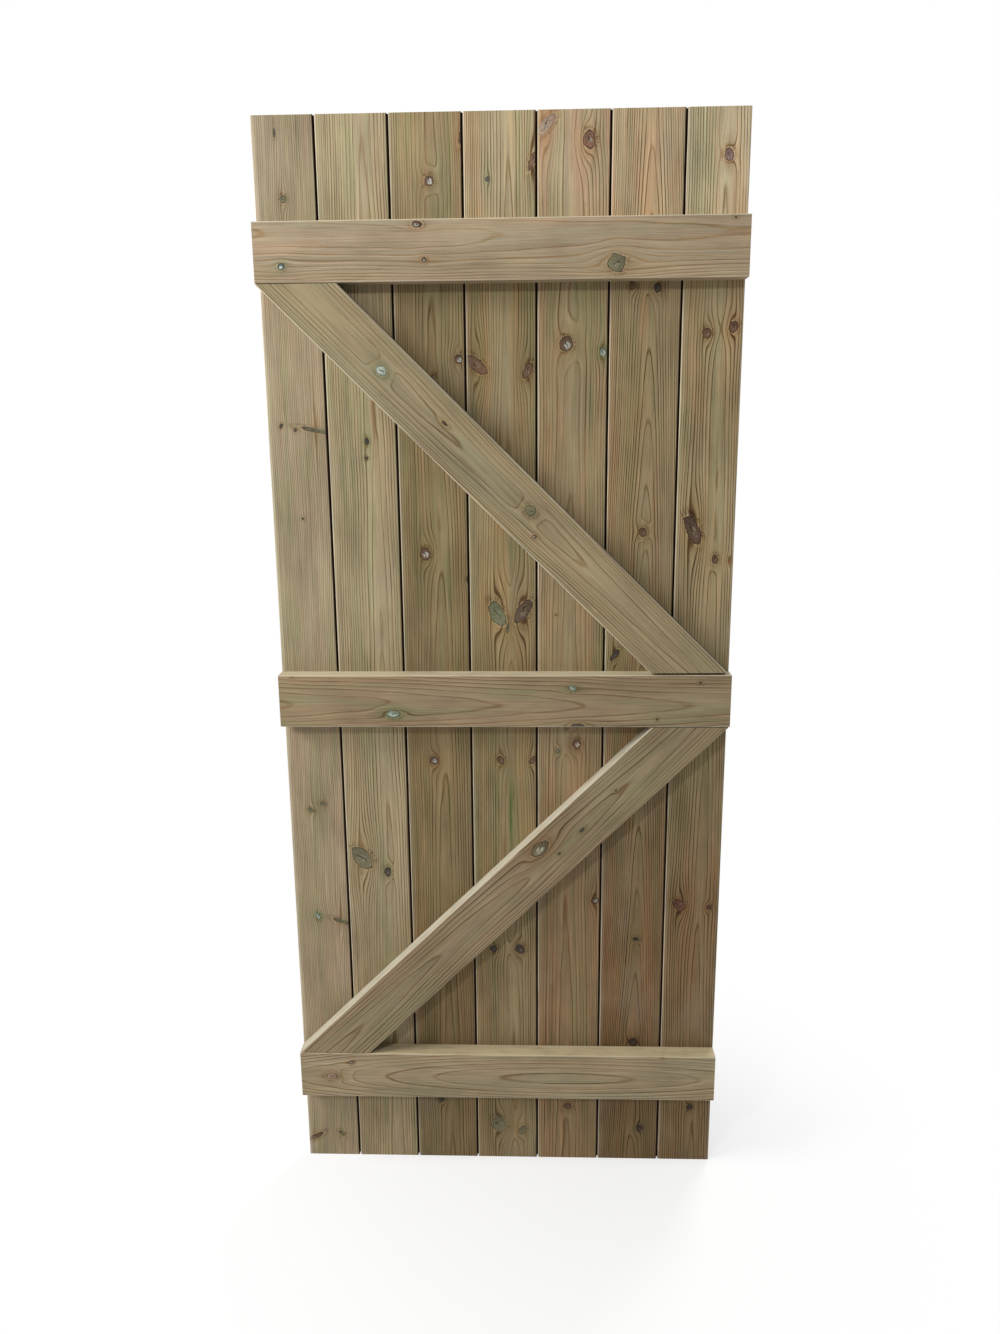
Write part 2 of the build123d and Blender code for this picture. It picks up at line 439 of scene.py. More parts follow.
class Web:
    """Adds nodes to one node tree; each call gives the new node's output socket."""

    def __init__(self, tree):
        self.tree = tree

    def feed(self, socket, value):
        """Links a socket to another one, or sets it; a colour of three parts is opaque."""
        if isinstance(value, bpy.types.NodeSocket):
            self.tree.links.new(value, socket)
        elif socket.type == "RGBA" and len(value) == 3:
            socket.default_value = (*value, 1.0)
        else:
            socket.default_value = value

    def node(self, kind, values=(), out=0, **settings):
        """A new node with its settings; values feed its inputs in order, or in a dict by name."""
        node = self.tree.nodes.new(kind)
        for name, value in settings.items():
            setattr(node, name, value)
        for label, value in values.items() if isinstance(values, dict) else enumerate(values):
            if value is not None:
                self.feed(node.inputs[label], value)
        return node.outputs[out]

    def math(self, operation, *values):
        return self.node("ShaderNodeMath", values, operation=operation)

    plus = partialmethod(math, "ADD")
    minus = partialmethod(math, "SUBTRACT")
    times = partialmethod(math, "MULTIPLY")
    over = partialmethod(math, "DIVIDE")
    scaled = partialmethod(math, "MULTIPLY_ADD")       # a * factor + offset
    greater = partialmethod(math, "MAXIMUM")

    def vector(self, operation, a, b=None, scale=None):
        out = "Value" if operation == "LENGTH" else "Vector"
        values = {0: a, 1: b, "Scale": scale}
        return self.node("ShaderNodeVectorMath", values, out, operation=operation)

    def split(self, vector):
        return tuple(self.node("ShaderNodeSeparateXYZ", [vector]).node.outputs)

    def join(self, x, y, z):
        return self.node("ShaderNodeCombineXYZ", (x, y, z))

    def blend(self, share, a, b, how="MIX"):
        """Mixes two colours; how is the blend, such as MIX or MULTIPLY."""
        values = {0: share, 6: a, 7: b}
        return self.node("ShaderNodeMix", values, 2, data_type="RGBA", blend_type=how)

    def tint(self, a, b):
        """One colour multiplied by another."""
        return self.blend(1.0, a, b, "MULTIPLY")

    def shade(self, colour, tone):
        """A colour multiplied by one number."""
        return self.tint(colour, self.join(tone, tone, tone))

    def between(self, share, a, b):
        """Mixes two numbers."""
        return self.node("ShaderNodeMix", {0: share, 2: a, 3: b}, data_type="FLOAT")

    def ease(self, value, low, high, at_low=0.0, at_high=1.0):
        """Smooth step from at_low, where value is low, to at_high, where it is high."""
        values = (value, low, high, at_low, at_high)
        return self.node("ShaderNodeMapRange", values, interpolation_type="SMOOTHSTEP")

    def fade(self, value, low, high):
        """Smooth step down from 1, where value is low, to 0, where it is high."""
        return self.ease(value, low, high, 1.0, 0.0)

    def noise(self, vector, detail=2.0, rough=0.5):
        """Smooth noise of about 0.5, sized by the vector that it reads."""
        values = {"Vector": vector, "Scale": 1.0, "Detail": detail, "Roughness": rough}
        return self.node("ShaderNodeTexNoise", values)

    def drawn(self, point, scales, shift, detail=2.0, rough=0.5):
        """Noise at the point, scaled by its own factor each way and then shifted."""
        moved = self.vector("ADD", self.vector("MULTIPLY", point, scales), shift)
        return self.noise(moved, detail, rough)

    def swing(self, *noise):
        """Drawn noise less its middle of 0.5, to either side of nothing."""
        return self.minus(self.drawn(*noise), 0.5)


def new_group(name, inputs, outputs):
    """A shader node group; inputs and outputs list the socket names of each kind."""
    tree = bpy.data.node_groups.new(name, "ShaderNodeTree")
    for side, kinds in (("INPUT", inputs), ("OUTPUT", outputs)):
        for kind, labels in kinds.items():
            for label in labels.split(", "):
                tree.interface.new_socket(label, in_out=side, socket_type=f"NodeSocket{kind}")
    entry = tree.nodes.new("NodeGroupInput")
    leave = tree.nodes.new("NodeGroupOutput")
    return tree, Web(tree), named(entry.outputs), named(leave.inputs)


def use_group(web, label, **values):
    """Places a group in a tree and feeds each of its inputs with the value of the same name."""
    node = web.node("ShaderNodeGroup", node_tree=GROUPS[label]).node
    for name, socket in vars(named(node.inputs)).items():
        web.feed(socket, values[name])
    return named(node.outputs)


def new_material(name):
    """A new material, its web and its Principled shader."""
    material = bpy.data.materials.new(name)
    material.use_nodes = True
    return material, Web(material.node_tree), material.node_tree.nodes["Principled BSDF"]


def roughen(web, shader, height, strength, depth):
    """Feeds a height over the surface to the shader's normal; depth is in millimetres."""
    values = {"Strength": strength, "Distance": depth * MM, "Height": height}
    web.feed(shader.inputs["Normal"], web.node("ShaderNodeBump", values))


# Effects shared by the timber materials. Points are in millimetres: across the grain, depth and
# along the grain. Noise scales are turns per millimetre, each way.

CLEAR = (0.0, 0.0, 0.0)
WHITE = (1.0, 1.0, 1.0)
CRACK_DARK = (0.012, 0.01, 0.008)
COLLAR_PALE = (1.40, 1.38, 1.30)       # multiplied in round a knot
NEEDLE_DARK = (0.20, 0.13, 0.075)      # and this in its dark hairs
RUST = (1.0, 0.88, 0.72)               # and this where a latewood line begins
DRIED_AND_LIT = (1.66, 1.72, 2.0)              # and this on the paler top ends: partly dried by the open air, partly painted light
DAMPED_AND_SHADED = (0.62, 0.52, 0.46)            # and this towards the foot: partly wet wood, partly painted shade
# pale of rubbed arrises, partly a painted highlight on the boards' lit left arrises
HANDLED_AND_HIGHLIGHT = (0.78, 0.70, 0.56)
SMUDGE = (0.34, 0.30, 0.24)
END_FUZZ = (0.5, 0.46, 0.38), (0.85, 0.82, 0.72)       # and these two, mixed, on a sawn end
END_RING = (0.13, 0.09, 0.045)
# dark of a joint: dirt, and painted shade in the gap and on the arris away from the light
JOINT_DIRT_AND_SHADE = (0.030, 0.018, 0.011)
KNOT_STREAM = 2.2                      # how much longer than wide the grain's bend round a knot is


def knot_group():
    """One knot: it bends the grain round it, lifts the rings, and lays its own face on the cover.

    With x and z the point's offset across and along the grain in half widths and half lengths,
    e = x^2 + (z / stream)^2: the grain's across is drawn towards the knot by push / sqrt(1 + e^2)
    of its offset, as a stream parts round a post, the rings rise by swell * exp(-(x^2 + z^2) / 5),
    and streaks of tone are calmed by exp(-(0.8 x^2 + 0.2 z^2)).
    Turned to the knot's own axes, rho is the distance in half sizes and d = (rho - 1) * half width
    is the way out from its edge in millimetres. The face fills d < 0 and is darkest at the rim, a
    pale collar is just outside it, then a broken dark line and needles at angles picked by noise.
    """
    tree, web, get, put = new_group(
        "knot",
        {
            "Vector": "Point, Wobble, Centre",
            "Float": "Lift, Calm, Cover, Speckle, Half Width, Half Length, Turn, Push, Swell, "
            "Middle Size, Check, Collar, Needles, Glow, Halo Long",
            "Color": "Cover Colour, Stain, Body, Rim, Middle, Halo",
        },
        {"Vector": "Point", "Float": "Lift, Calm, Cover", "Color": "Cover Colour, Stain"},
    )
    off_x, depth, off_z = web.split(web.vector("SUBTRACT", get.point, get.centre))
    off_z = web.scaled(depth, -0.25, off_z)
    x = web.over(off_x, get.half_width)
    z = web.over(off_z, get.half_length)
    x2 = web.times(x, x)
    z2 = web.times(z, z)
    flow = web.plus(x2, web.over(z2, KNOT_STREAM**2))
    slow = web.math("INVERSE_SQRT", web.scaled(flow, flow, 1.0))
    shift = web.times(off_x, web.times(get.push, slow))
    web.feed(put.point, web.vector("SUBTRACT", get.point, web.join(shift, 0.0, 0.0)))
    hill = web.math("EXPONENT", web.times(web.plus(x2, z2), -0.2))
    web.feed(put.lift, web.scaled(get.swell, hill, get.lift))
    lull = web.scaled(x2, -0.8, web.times(z2, -0.2))
    web.feed(put.calm, web.greater(get.calm, web.math("EXPONENT", lull)))

    values = {"Vector": web.join(off_x, 0.0, off_z), "Angle": get.turn}
    turned = web.node("ShaderNodeVectorRotate", values, rotation_type="Y_AXIS")
    own = web.vector("DIVIDE", turned, web.join(get.half_width, 1.0, get.half_length))
    spot = web.vector("ADD", own, get.wobble)
    rho = web.vector("LENGTH", web.vector("MULTIPLY", spot, (1.0, 0.0, 1.0)))
    u, _, v = web.split(spot)
    uneven = web.minus(get.speckle, 0.5)
    out = web.scaled(uneven, 3.0, web.times(web.minus(rho, 1.0), get.half_width))
    face = web.fade(out, -0.5, 0.4)
    angle = web.vector("MULTIPLY", web.vector("NORMALIZE", spot), (4.0, 0.0, 4.0))
    spikes = web.noise(web.vector("ADD", angle, get.centre), 2.0, 0.7)
    hairy = web.noise(web.vector("ADD", web.vector("SCALE", angle, scale=2.6), get.centre), 1.0)

    # The face darkens towards its upper end along its own axis (-0.25 v): painted shade.
    mottle_and_shade = web.scaled(v, -0.25, web.scaled(uneven, 1.8, 1.0))
    mottle_and_shade = web.scaled(web.minus(spikes, 0.5), 0.7, mottle_and_shade)
    rings = web.math("SINE", web.times(out, 2.0))
    mottle_and_shade = web.greater(web.scaled(rings, 0.16, mottle_and_shade), 0.15)
    body = web.shade(get.body, mottle_and_shade)
    aside = web.vector("LENGTH", web.vector("ADD", web.join(u, 0.0, v), (-0.16, 0.0, 0.12)))
    patch = web.minus(get.middle_size, web.plus(uneven, aside))
    colour = web.blend(web.ease(patch, -0.08, 0.08), body, get.middle)
    rim = web.times(web.ease(out, -2.5, -0.6), web.ease(spikes, 0.38, 0.6, 0.15, 1.0))
    colour = web.blend(rim, colour, get.rim)
    bow = web.scaled(web.math("SINE", web.times(v, 6.0)), 0.2, u)
    crack = web.fade(web.math("ABSOLUTE", bow), 0.05, 0.14)
    crack = web.times(crack, web.fade(rho, 0.30, 0.48))
    pith = web.fade(web.times(rho, get.half_width), 0.7, 1.3)
    crack = web.greater(crack, pith)
    colour = web.blend(web.times(crack, get.check), colour, CRACK_DARK)
    web.feed(put.cover_colour, web.blend(face, get.cover_colour, colour))
    web.feed(put.cover, web.between(face, get.cover, 1.0))

    far = web.over(z2, web.times(get.halo_long, get.halo_long))
    far = web.times(web.scaled(x2, 0.3, far), -1.0)
    stain = web.blend(web.times(web.math("EXPONENT", far), get.glow), WHITE, get.halo)
    close = web.times(web.ease(out, 1.0, 7.0, 0.6, 0.0), get.glow)
    stain = web.blend(close, stain, web.tint(stain, get.halo))
    collar = web.times(web.ease(out, 0.2, 0.8), web.fade(out, 1.2, 2.4))
    collar = web.times(collar, web.ease(spikes, 0.35, 0.55, 0.3, 1.0))
    stain = web.blend(web.times(collar, get.collar), stain, COLLAR_PALE)
    reach = web.scaled(get.half_width, 0.5, 2.5)
    hairs = web.times(web.ease(hairy, 0.50, 0.60), web.ease(out, 0.4, 1.6))
    hairs = web.times(hairs, web.fade(web.over(out, reach), 0.4, 1.0))
    edge = web.times(web.ease(out, 1.5, 2.1), web.ease(out, 2.6, 3.4, 0.4, 0.0))
    edge = web.times(edge, web.ease(get.speckle, 0.36, 0.5))
    hairs = web.greater(hairs, edge)
    hairs = web.times(hairs, web.ease(web.plus(u, v), -0.5, 0.7, 0.1, 1.0))
    stain = web.blend(web.times(hairs, get.needles), stain, NEEDLE_DARK)
    web.feed(put.stain, web.tint(get.stain, stain))
    return tree


def streak_group():
    """A soft coloured streak along the grain: strength * exp(-(x/w)^2 - (z/l)^2), multiplied in."""
    tree, web, get, put = new_group(
        "streak",
        {
            "Vector": "Point, Wobble, Centre", "Float": "Half Width, Half Length, Strength",
            "Color": "Stain, Colour",
        },
        {"Color": "Stain"},
    )
    off_x, _, off_z = web.split(web.vector("SUBTRACT", get.point, get.centre))
    sway, _, _ = web.split(get.wobble)
    x = web.plus(web.over(off_x, get.half_width), web.times(sway, 1.5))
    z = web.over(off_z, get.half_length)
    spread = web.times(web.plus(web.times(x, x), web.times(z, z)), -1.0)
    share = web.times(web.math("EXPONENT", spread), get.strength)
    web.feed(put.stain, web.blend(share, get.stain, web.tint(get.stain, get.colour)))
    return tree


def rings_group():
    """Growth rings round a trunk's heart that runs near the piece.

    The ring number is (distance from the heart + lean * along + bow * (along - bow centre)^2 +
    lift + wandering noise) / ring width. Its fraction darkens into a thin latewood line, then
    drops sharply to the palest wood of the next ring. Each ring has its own strength, lines are
    fainter where the face is nearly level with the rings, broad noise makes them fade in and
    out along the grain, and they are a little stronger beside a knot.
    """
    tree, web, get, put = new_group(
        "growth rings",
        {
            "Vector": "Point, Seed",
            "Float": "Lift, Calm, Heart Across, Heart Depth, Lean, Bow, Bow Centre, Ring Width, "
            "Drift",
        },
        {"Float": "Late, Fresh"},
    )
    x, depth, z = web.split(get.point)
    wander = web.swing(get.point, (0.006, 0.01, 0.0028), get.seed, 1.0)
    waver = web.swing(get.point, (0.02, 0.02, 0.005), get.seed)
    ripple = web.swing(get.point, (0.10, 0.10, 0.020), get.seed)
    side = web.minus(x, get.heart_across)
    side = web.scaled(web.times(wander, get.drift), 3.0, side)
    behind = web.minus(depth, get.heart_depth)
    radius = web.vector("LENGTH", web.join(side, behind, 0.0))
    level = web.over(web.math("ABSOLUTE", side), radius)
    radius = web.scaled(z, get.lean, radius)
    bend = web.minus(z, get.bow_centre)
    radius = web.scaled(web.times(bend, bend), get.bow, radius)
    radius = web.plus(radius, get.lift)
    radius = web.scaled(web.times(waver, get.drift), 0.4, radius)
    radius = web.scaled(ripple, 0.6, radius)
    number = web.over(radius, get.ring_width)
    years = web.join(web.times(number, 0.4), 0.0, 0.0)
    uneven = web.noise(web.vector("ADD", years, get.seed), 1.0)
    number = web.scaled(uneven, 1.1, number)
    share = web.math("FRACT", number)
    band = web.ease(level, 0.1, 0.8, 0.15, 0.44)
    rise = web.ease(share, web.minus(1.0, band), web.scaled(band, -0.4, 1.0))
    late = web.times(rise, web.fade(share, 0.94, 1.0))
    fresh = web.times(web.ease(share, 0.0, 0.06), web.fade(share, 0.16, 0.45))
    year = {"W": web.math("FLOOR", number)}
    chance = web.node("ShaderNodeTexWhiteNoise", year, "Value", noise_dimensions="1D")
    strong = web.scaled(chance, 0.35, 0.65)
    strong = web.times(strong, web.ease(level, 0.0, 0.16, 0.55, 1.0))
    faint = web.drawn(get.point, (0.05, 0.05, 0.008), get.seed)
    strong = web.times(strong, web.ease(faint, 0.38, 0.62, 0.45, 1.0))
    strong = web.times(strong, web.scaled(get.calm, 0.05, 1.0))
    web.feed(put.late, web.times(late, strong))
    web.feed(put.fresh, web.times(fresh, strong))
    return tree


def pine_group():
    """Colour of treated pine: earlywood to latewood, with warm and green streaks and fibres.

    Earlywood turns rusty where a line begins, and the latewood line is laid on by contrast. The
    whole is then scaled by tone, 1 plus the small departures of four noises drawn out along the
    grain: clouds, streaks, fibres and flecks.
    """
    tree, web, get, put = new_group(
        "treated pine",
        {
            "Vector": "Point, Seed", "Float": "Late, Fresh, Calm, Contrast, Streaks",
            "Color": "Early, Latewood, Warm, Green",
        },
        {"Color": "Colour"},
    )
    elsewhere = web.vector("ADD", get.seed, (31.0, 7.0, 3.0))
    broad = web.drawn(get.point, (0.03, 0.03, 0.0030), get.seed, 3.0, 0.6)
    other = web.drawn(get.point, (0.05, 0.04, 0.0036), elsewhere, 3.0, 0.6)
    cloud = web.swing(get.point, (0.018, 0.018, 0.007), get.seed, 3.0, 0.55)
    streak = web.swing(get.point, (0.34, 0.3, 0.004), get.seed, 2.0, 0.75)
    fibre = web.swing(get.point, (0.8, 0.8, 0.012), elsewhere, 2.0, 0.7)
    fleck = web.drawn(get.point, (0.7, 0.7, 0.09), get.seed, 1.0)
    early = web.blend(web.ease(broad, 0.40, 0.64), get.early, get.warm)
    early = web.blend(web.ease(other, 0.46, 0.68, 0.0, 0.9), early, get.green)
    early = web.blend(web.ease(get.late, 0.0, 0.4), early, web.tint(early, RUST))
    colour = web.blend(web.times(get.late, get.contrast), early, get.latewood)
    calmer = web.scaled(get.calm, -0.8, 1.0)
    tone = web.scaled(web.times(streak, get.streaks), calmer, 1.0)
    tone = web.scaled(get.fresh, 0.20, tone)
    tone = web.scaled(fibre, 0.95, tone)
    tone = web.scaled(cloud, 0.80, tone)
    tone = web.minus(tone, web.ease(fleck, 0.66, 0.76, 0.0, 0.16))
    web.feed(put.colour, web.shade(colour, tone))
    return tree


def handling_and_painted_light_group():
    """What time and use add, with painted light and shade: paler arrises, paler top faces, dark
    joints, sawn ends, and a paler top and darker foot.

    The top ends are paler and greyer, partly dried by the open air and partly painted light, and
    the foot darker and browner, partly wet and partly painted shade. Arrises are paler by the
    arris attribute, broken up by noise: rubbed wood, and on the boards' lit left arrises partly a
    painted highlight. Faces that look up are paler, partly dusty and partly painted light from
    above. The joint attribute darkens the faces inside a joint, with dirt and painted shade, and
    the sawn attribute marks cut ends.
    """
    tree, web, get, put = new_group(
        "handling_and_painted_light",
        {
            "Vector": "Point, Seed", "Float": "Late, Arris, Joint, Sawn, Upward, Pale, Dry, Damp",
            "Color": "Colour, Dust",
        },
        {"Color": "Colour"},
    )
    # Paler, greyer top ends and a darker, browner foot: partly weathering, partly painted light and
    # shade.
    colour = web.blend(get.dry, get.colour, web.tint(get.colour, DRIED_AND_LIT))
    colour = web.blend(get.damp, colour, web.tint(get.colour, DAMPED_AND_SHADED))
    patch = web.drawn(get.point, (0.09, 0.09, 0.02), get.seed, 3.0, 0.6)
    # Pale arrises: rubbed, and on the boards' lit left arrises partly a painted highlight.
    wear_and_highlight = web.times(get.arris, web.ease(patch, 0.25, 0.5, 0.55, 1.0))
    worn_and_lit = web.blend(web.times(wear_and_highlight, get.pale), colour, HANDLED_AND_HIGHLIGHT)
    elsewhere = web.vector("ADD", get.seed, (2.0, 4.0, 8.0))
    smudge = web.drawn(get.point, (0.012, 0.012, 0.006), elsewhere, 4.0, 0.6)
    worn_and_lit = web.blend(web.ease(smudge, 0.5, 0.75, 0.0, 0.12), worn_and_lit, SMUDGE)
    # Paler faces that look up: partly dusty, partly painted light from above.
    dust = web.times(web.ease(get.upward, 0.3, 0.65), web.ease(patch, 0.3, 0.6, 0.55, 0.85))
    worn_and_lit = web.blend(dust, worn_and_lit, get.dust)
    rough = web.drawn(get.point, (0.9, 0.9, 0.9), get.seed, 3.0, 0.7)
    end = web.tint(worn_and_lit, web.blend(rough, *END_FUZZ))
    end = web.blend(web.times(get.late, 0.45), end, END_RING)
    worn_and_lit = web.blend(get.sawn, worn_and_lit, end)
    # Dark joints: dirt, and painted shade in the gap and on the arris away from the light.
    inside = web.times(get.joint, web.minus(1.0, get.sawn))
    web.feed(put.colour, web.blend(inside, worn_and_lit, JOINT_DIRT_AND_SHADE))
    return tree


GROUPS = {
    "knot": knot_group(),
    "streak": streak_group(),
    "rings": rings_group(),
    "pine": pine_group(),
    "handling_and_painted_light": handling_and_painted_light_group(),
}


# Knots: colours of each kind, then their places

KNOT_KINDS = {
    "brown": dict(
        body=(0.120, 0.064, 0.033), rim=(0.026, 0.014, 0.008), middle=(0.22, 0.17, 0.12),
        middle_size=0.22, check=0.8, collar=0.6, needles=0.7, halo=(0.80, 0.61, 0.43), glow=0.6,
    ),
    "dark": dict(
        body=(0.055, 0.040, 0.030), rim=(0.020, 0.014, 0.011), middle=(0.14, 0.12, 0.10),
        middle_size=0.2, check=0.5, collar=0.5, needles=0.6, halo=(0.76, 0.60, 0.44), glow=0.5,
    ),
    "pale": dict(
        body=(0.100, 0.057, 0.031), rim=(0.024, 0.014, 0.009), middle=(0.34, 0.34, 0.29),
        middle_size=0.42, check=0.9, collar=0.6, needles=0.65, halo=(0.80, 0.64, 0.46), glow=0.5,
    ),
    "green": dict(
        body=(0.140, 0.125, 0.070), rim=(0.050, 0.038, 0.022), middle=(0.24, 0.23, 0.16),
        middle_size=0.15, check=0.8, collar=0.6, needles=0.6, halo=(0.76, 0.66, 0.48), glow=0.5,
    ),
    "teal": dict(
        body=(0.170, 0.195, 0.140), rim=(0.040, 0.042, 0.030), middle=(0.40, 0.44, 0.37),
        middle_size=0.40, check=1.0, collar=0.5, needles=0.6, halo=(0.66, 0.84, 0.66), glow=0.6,
    ),
    "pin": dict(
        body=(0.050, 0.040, 0.027), rim=(0.035, 0.028, 0.018), middle=(0.02, 0.02, 0.015),
        middle_size=0.2, check=0.0, collar=0.0, needles=0.3, halo=(0.66, 0.68, 0.48), glow=0.4,
    ),
}


KNOT_SWELL = 1.9       # how much each knot's own swell lifts the rings, mm
GREEN_STREAK = (0.42, 0.60, 0.38)


def placed(x, z, wide, long, **more):
    """A knot or streak at x, z on the leaf, wide by long, mm."""
    return dict(x=x, z=z, half_width=wide / 2, half_length=long / 2, **more)


def knot(kind, x, z, wide, long, swell, turn=0.0, **more):
    """A knot of one of the kinds. swell lifts the rings there; turn is clockwise, degrees."""
    own = dict(swell=KNOT_SWELL * swell, turn=-math.radians(turn), push=0.95, halo_long=2.2)
    return placed(x, z, wide, long, **{**own, **KNOT_KINDS[kind], **more})


def streak(x, z, wide, long, colour, strength):
    """A soft streak of colour."""
    return placed(x, z, wide, long, colour=colour, strength=strength)


KNOTS = {
    "board_1": [
        knot("pin", 36, 1803, 4, 16, 0.2),
        knot("green", 44, 1709, 11, 11, 0.8),
        knot("pin", 22, 1366, 9, 5, 0.4, -60),
        knot("pin", 44, 1360, 6, 6, 0.4),
        knot("green", 77, 1359, 7, 50, 0.6, -78, halo_long=0.8),
        knot("pin", 50, 1216, 4, 5, 0.4),
        knot("green", 37, 703, 13, 9, 0.8, 30),
        knot("green", 57, 715, 11, 9, 0.4),
        knot("teal", 40, 499, 17, 9, 0.6, 70),
        knot("green", 80, 489, 8, 34, 0.6, -72, halo_long=0.8),
        knot("brown", 13, 39, 10, 34, 0.6, 62, halo_long=0.8),
        knot("green", 64, 46, 9, 16, 0.4, -50),
    ],
    "board_2": [
        knot("pin", 161, 1341, 8, 12, 0.6),
        knot("pin", 159, 1314, 6, 4, 0.2),
        knot("green", 125, 612, 30, 48, 1.6, -38),
        knot("dark", 165, 586, 14, 18, 1.2, halo=(0.5, 0.6, 0.42)),
    ],
    "board_3": [
        knot("pale", 272, 1732, 15, 16, 2.4),
        knot("brown", 325, 1800, 10, 34, 1.6, 20),
        knot("pale", 313, 1468, 14, 15, 2.0),
        knot("pale", 273, 1442, 7, 7, 0.6),
        knot("pale", 252, 1157, 19, 22, 2.4),
        knot("pin", 321, 1114, 8, 8, 0.6),
        knot("pale", 258, 796, 16, 16, 2.0),
        knot("pin", 256, 123, 14, 9, 2.0),
    ],
    "board_4": [
        knot("pin", 362, 1733, 7, 8, 0.4, halo_long=8.0, halo=GREEN_STREAK),
        knot("brown", 432, 1760, 10, 34, 1.2, 25),
        knot("brown", 341, 1459, 19, 44, 2.4, -50, body=(0.120, 0.064, 0.034)),
        knot("brown", 422, 1449, 14, 27, 2.0, 26),
        knot("green", 371, 1055, 24, 46, 2.8, -24, collar=0.9, body=(0.135, 0.135, 0.075)),
        knot("brown", 411, 1059, 22, 46, 2.8, 36, collar=0.9, body=(0.090, 0.060, 0.038)),
        knot("green", 386, 1031, 6, 20, 0.8, 6, needles=0.2, body=(0.13, 0.135, 0.075)),
        knot("brown", 375, 797, 12, 17, 1.6, -20),
        knot("brown", 428, 797, 10, 18, 1.2, 40),
        knot("dark", 359, 436, 14, 14, 1.2),
        knot("dark", 405, 436, 19, 19, 2.0, rim=(0.08, 0.045, 0.025)),
        knot("green", 365, 71, 27, 34, 2.8, -30),
        knot("green", 405, 58, 15, 22, 1.2, 25),
    ],
    "board_5": [
        knot("brown", 452, 1808, 16, 40, 3.0, 42, body=(0.20, 0.14, 0.085),
             rim=(0.16, 0.10, 0.06), collar=0.2, glow=0.9),
        knot("brown", 517, 1786, 19, 26, 3.2, halo=(0.78, 0.56, 0.38)),
        knot("pale", 484, 1489, 22, 24, 2.4, rim=(0.04, 0.028, 0.02)),
        knot("teal", 540, 1476, 13, 14, 1.2, check=1.0, halo_long=2.4, glow=1.0),
        knot("pin", 470, 1053, 3, 3, 0.0),
        knot("brown", 506, 826, 16, 18, 2.4, middle=(0.5, 0.45, 0.36), middle_size=0.35),
        knot("pin", 476, 813, 7, 9, 1.6, body=(0.16, 0.15, 0.09)),
        knot("pale", 541, 533, 14, 15, 1.2),
        knot("brown", 494, 112, 14, 14, 1.6),
    ],
    "board_6": [
        knot("dark", 627, 1572, 13, 15, 1.6),
        knot("brown", 589, 1575, 12, 10, 2.0, halo=(0.6, 0.38, 0.22)),
        knot("brown", 612, 1191, 13, 15, 2.8),
        knot("dark", 570, 984, 10, 22, 2.4, 40),
        knot("pin", 616, 458, 11, 7, 1.6, halo_long=3.0),
        knot("dark", 615, 249, 17, 17, 2.4),
        knot("dark", 630, 67, 12, 13, 1.2, halo=(0.48, 0.6, 0.42)),
    ],
    "board_7": [
        knot("brown", 730, 1762, 14, 19, 2.0, body=(0.13, 0.08, 0.06)),
        knot("brown", 706, 1503, 15, 16, 1.6),
        knot("brown", 746, 1512, 15, 19, 1.6, 25),
        knot("brown", 694, 1194, 22, 52, 2.0, -24, body=(0.085, 0.050, 0.030)),
        knot("brown", 729, 1146, 12, 16, 1.2),
        knot("brown", 753, 1143, 8, 9, 0.8, body=(0.28, 0.12, 0.05)),
        knot("brown", 692, 525, 20, 28, 1.6, -38, body=(0.16, 0.075, 0.05)),
        knot("brown", 742, 521, 9, 9, 2.0),
        knot("dark", 723, 113, 12, 13, 2.0),
    ],
    "ledge_top": [
        knot("pale", 263, 1664, 10, 16, 0.6, push=0.8),
        knot("pale", 273, 1614, 8, 8, 0.6, halo_long=5.0),
        knot("teal", 51, 1606, 11, 11, 0.8, body=(0.07, 0.09, 0.09), check=0.0),
        knot("green", 568, 1605, 26, 29, 2.0, halo_long=3.0),
        knot("pin", 746, 1666, 3, 4, 0.0),
    ],
    "ledge_middle": [
        knot("teal", 202, 889, 14, 24, 1.2, halo_long=2.5),
        knot("teal", 506, 934, 11, 14, 0.6, halo_long=4.5),
        knot("dark", 514, 869, 8, 22, 2.4),
        knot("pin", 718, 943, 4, 5, 0.2),
        knot("pin", 648, 880, 4, 4, 0.2),
        knot("pin", 32, 955, 4, 4, 0.0),
    ],
    "ledge_bottom": [
        knot("brown", 65, 192, 15, 22, 2.0, body=(0.26, 0.17, 0.12), rim=(0.07, 0.035, 0.028)),
        knot("pale", 103, 220, 9, 9, 0.4),
        knot("pin", 674, 239, 4, 4, 0.0),
    ],
    "brace_upper": [
        knot("teal", 199, 1444, 16, 19, 2.0, body=(0.26, 0.30, 0.24), rim=(0.06, 0.048, 0.032)),
        knot("green", 433, 1224, 17, 20, 2.0),
        knot("pale", 441, 1184, 7, 7, 0.4, check=0.0),
        knot("brown", 297, 1362, 5, 12, 0.6),
    ],
    "brace_lower": [
        knot("brown", 448, 651, 23, 38, 2.4, body=(0.105, 0.082, 0.046),
             middle=(0.34, 0.32, 0.23), middle_size=0.40, needles=0.15, glow=0.7),
        knot("pin", 479, 645, 5, 6, 0.4),
        knot("pin", 519, 688, 6, 12, 0.4),
        knot("pin", 578, 759, 4, 5, 0.2),
    ],
}

